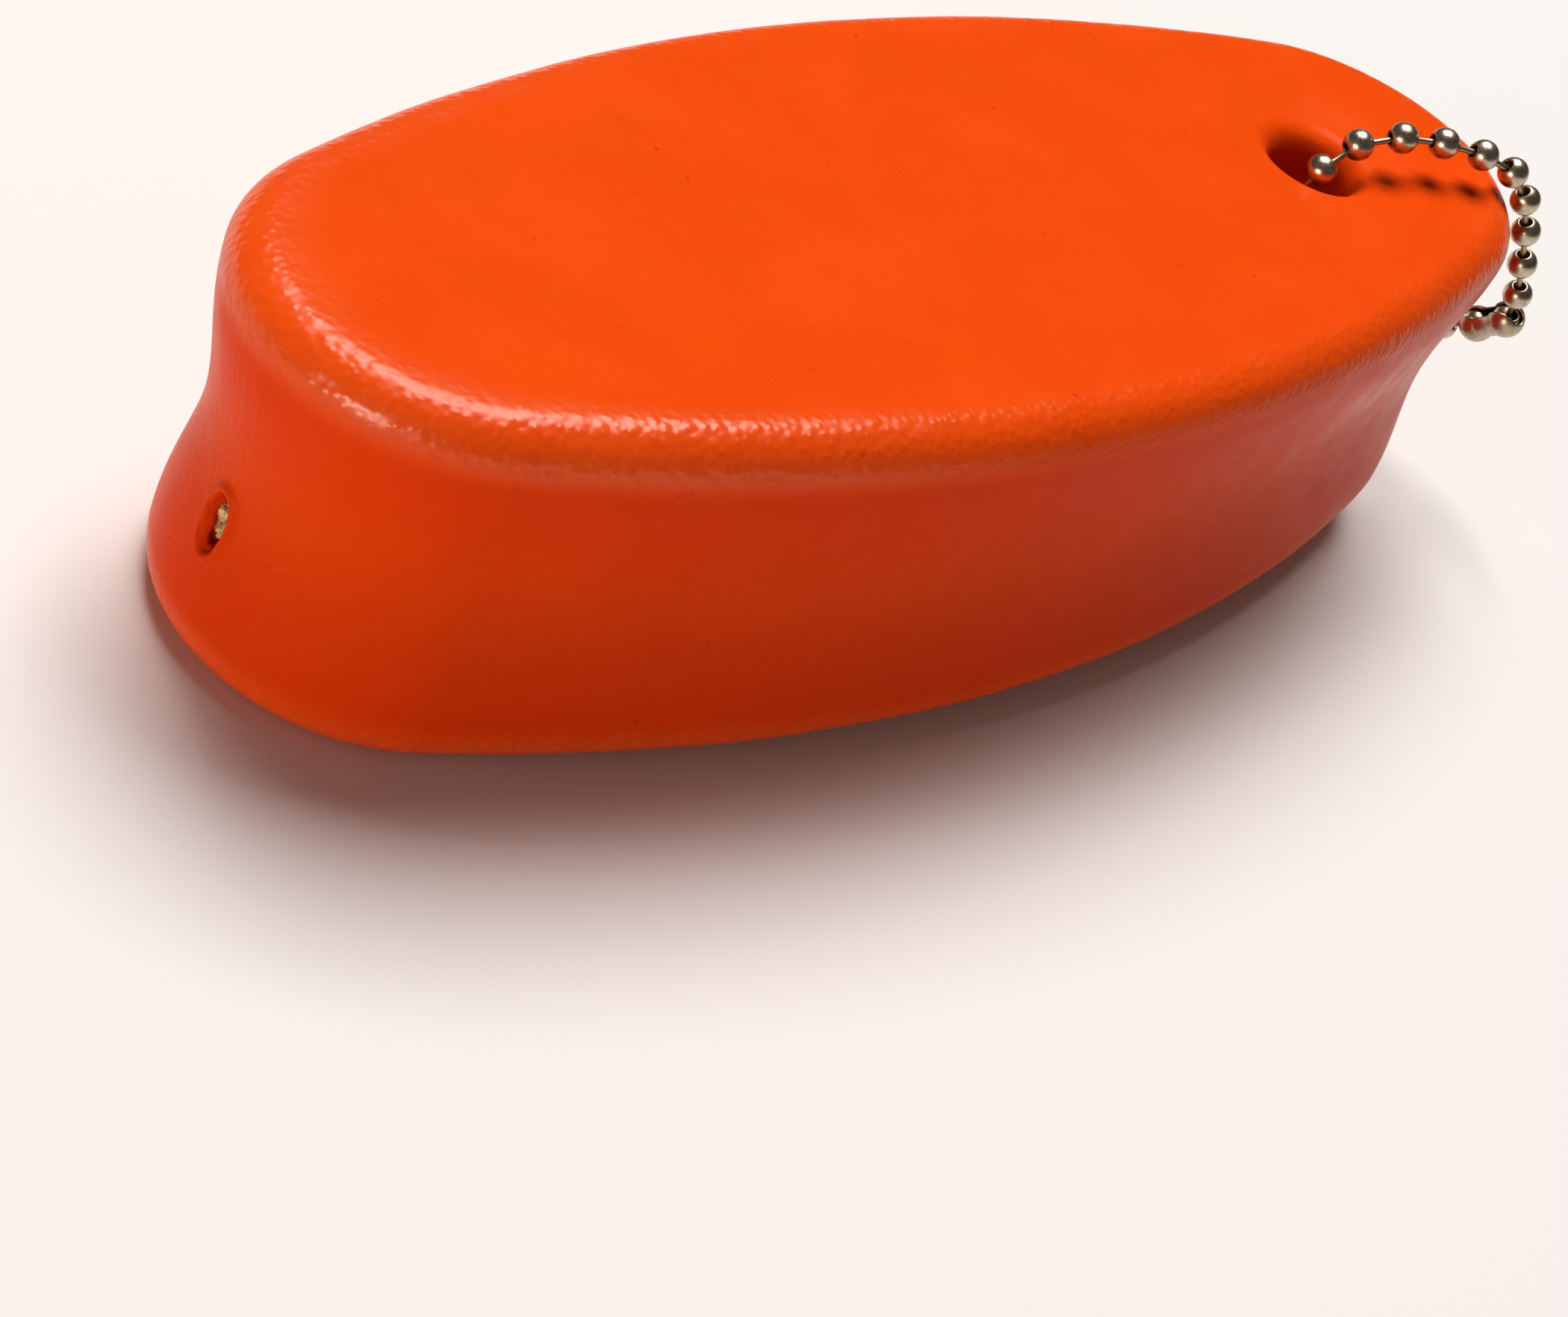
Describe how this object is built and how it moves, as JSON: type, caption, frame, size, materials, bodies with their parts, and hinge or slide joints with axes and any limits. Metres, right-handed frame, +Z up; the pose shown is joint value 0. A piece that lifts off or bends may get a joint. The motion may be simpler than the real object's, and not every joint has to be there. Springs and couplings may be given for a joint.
{
  "type": "key float",
  "caption": "Orange vinyl-dipped foam key float shaped like a small rescue tube, with a closed loop of nickel-plated bead chain through one end.",
  "frame": {"origin": "middle of the flat underside of the float", "axes": "+Z up out of the deck, +X towards the end with the chain's hole, +Y across"},
  "size_m": [0.1171, 0.0444, 0.0338],
  "materials": {
    "vinyl": "semi-gloss dipped vinyl, finely pebbled",
    "foam": "closed-cell foam",
    "nickel": "nickel plated, slightly worn"
  },
  "bodies": {
    "float": {"bead_01": "nickel", "bead_22": "nickel", "bead_23": "nickel", "bead_24": "nickel", "bead_25": "nickel", "bead_26": "nickel", "bead_27": "nickel", "bead_28": "nickel", "foam_core": "foam", "pin_01": "nickel", "pin_21": "nickel", "pin_22": "nickel", "pin_23": "nickel", "pin_24": "nickel", "pin_25": "nickel", "pin_26": "nickel", "pin_27": "nickel", "pin_28": "nickel", "vinyl_coat": "vinyl"},
    "upper_02": {"bead_02": "nickel", "pin_02": "nickel"},
    "upper_03": {"bead_03": "nickel", "pin_03": "nickel"},
    "upper_04": {"bead_04": "nickel", "pin_04": "nickel"},
    "upper_05": {"bead_05": "nickel", "pin_05": "nickel"},
    "upper_06": {"bead_06": "nickel", "pin_06": "nickel"},
    "upper_07": {"bead_07": "nickel", "pin_07": "nickel"},
    "upper_08": {"bead_08": "nickel", "pin_08": "nickel"},
    "upper_09": {"bead_09": "nickel", "pin_09": "nickel"},
    "upper_10": {"bead_10": "nickel", "pin_10": "nickel"},
    "upper_11": {"bead_11": "nickel"},
    "connector": {"chain_connector": "nickel", "bead_12": "nickel"},
    "lower_21": {"bead_21": "nickel", "pin_20": "nickel"},
    "lower_20": {"bead_20": "nickel", "pin_19": "nickel"},
    "lower_19": {"bead_19": "nickel", "pin_18": "nickel"},
    "lower_18": {"bead_18": "nickel", "pin_17": "nickel"},
    "lower_17": {"bead_17": "nickel", "pin_16": "nickel"},
    "lower_16": {"bead_16": "nickel", "pin_15": "nickel"},
    "lower_15": {"bead_15": "nickel", "pin_14": "nickel"},
    "lower_14": {"bead_14": "nickel", "pin_13": "nickel"},
    "lower_13": {"bead_13": "nickel", "pin_12": "nickel"}
  },
  "joints": [
    {"name": "swing_02", "type": "hinge", "parent": "float", "child": "upper_02", "pos_m": [0.03863, -0.00183, 0.02791], "axis": [0, -1, 0], "range_deg": [0, 15]},
    {"name": "swing_03", "type": "hinge", "parent": "upper_02", "child": "upper_03", "pos_m": [0.04155, -0.00303, 0.02929], "axis": [0, -1, 0], "range_deg": [0, 15]},
    {"name": "swing_04", "type": "hinge", "parent": "upper_03", "child": "upper_04", "pos_m": [0.04459, -0.00462, 0.02975], "axis": [0, -1, 0], "range_deg": [0, 15]},
    {"name": "swing_05", "type": "hinge", "parent": "upper_04", "child": "upper_05", "pos_m": [0.04758, -0.00639, 0.02968], "axis": [0, -1, 0], "range_deg": [0, 15]},
    {"name": "swing_06", "type": "hinge", "parent": "upper_05", "child": "upper_06", "pos_m": [0.05062, -0.00781, 0.0288], "axis": [0, -1, 0], "range_deg": [0, 15]},
    {"name": "swing_07", "type": "hinge", "parent": "upper_06", "child": "upper_07", "pos_m": [0.05315, -0.00875, 0.02666], "axis": [0, -1, 0], "range_deg": [0, 15]},
    {"name": "swing_08", "type": "hinge", "parent": "upper_07", "child": "upper_08", "pos_m": [0.05508, -0.00931, 0.02383], "axis": [0, -1, 0], "range_deg": [0, 15]},
    {"name": "swing_09", "type": "hinge", "parent": "upper_08", "child": "upper_09", "pos_m": [0.05668, -0.00978, 0.02079], "axis": [0, -1, 0], "range_deg": [0, 15]},
    {"name": "swing_10", "type": "hinge", "parent": "upper_09", "child": "upper_10", "pos_m": [0.05821, -0.01015, 0.01768], "axis": [0, -1, 0], "range_deg": [0, 15]},
    {"name": "swing_11", "type": "hinge", "parent": "upper_10", "child": "upper_11", "pos_m": [0.05971, -0.00987, 0.01456], "axis": [0, -1, 0], "range_deg": [0, 5]},
    {"name": "swing_connector", "type": "hinge", "parent": "upper_11", "child": "connector", "pos_m": [0.0599, -0.00982, 0.01415], "axis": [0, -1, 0], "range_deg": [0, 3]},
    {"name": "swing_21", "type": "hinge", "parent": "float", "child": "lower_21", "pos_m": [0.03967, -0.00083, -0.00017], "axis": [0, 1, 0], "range_deg": [0, 15]},
    {"name": "swing_20", "type": "hinge", "parent": "lower_21", "child": "lower_20", "pos_m": [0.04283, -0.00113, -0.00136], "axis": [0, 1, 0], "range_deg": [0, 15]},
    {"name": "swing_19", "type": "hinge", "parent": "lower_20", "child": "lower_19", "pos_m": [0.04629, -0.00129, -0.0016], "axis": [0, 1, 0], "range_deg": [0, 15]},
    {"name": "swing_18", "type": "hinge", "parent": "lower_19", "child": "lower_18", "pos_m": [0.04977, -0.00124, -0.00162], "axis": [0, 1, 0], "range_deg": [0, 15]},
    {"name": "swing_17", "type": "hinge", "parent": "lower_18", "child": "lower_17", "pos_m": [0.05319, -0.00114, -0.00104], "axis": [0, 1, 0], "range_deg": [0, 15]},
    {"name": "swing_16", "type": "hinge", "parent": "lower_17", "child": "lower_16", "pos_m": [0.05615, -0.00108, 0.00073], "axis": [0, 1, 0], "range_deg": [0, 15]},
    {"name": "swing_15", "type": "hinge", "parent": "lower_16", "child": "lower_15", "pos_m": [0.05825, -0.0014, 0.00345], "axis": [0, 1, 0], "range_deg": [0, 15]},
    {"name": "swing_14", "type": "hinge", "parent": "lower_15", "child": "lower_14", "pos_m": [0.05966, -0.00256, 0.00639], "axis": [0, 1, 0], "range_deg": [0, 15]},
    {"name": "swing_13", "type": "hinge", "parent": "lower_14", "child": "lower_13", "pos_m": [0.06053, -0.00455, 0.00908], "axis": [0, 1, 0], "range_deg": [0, 15]}
  ]
}
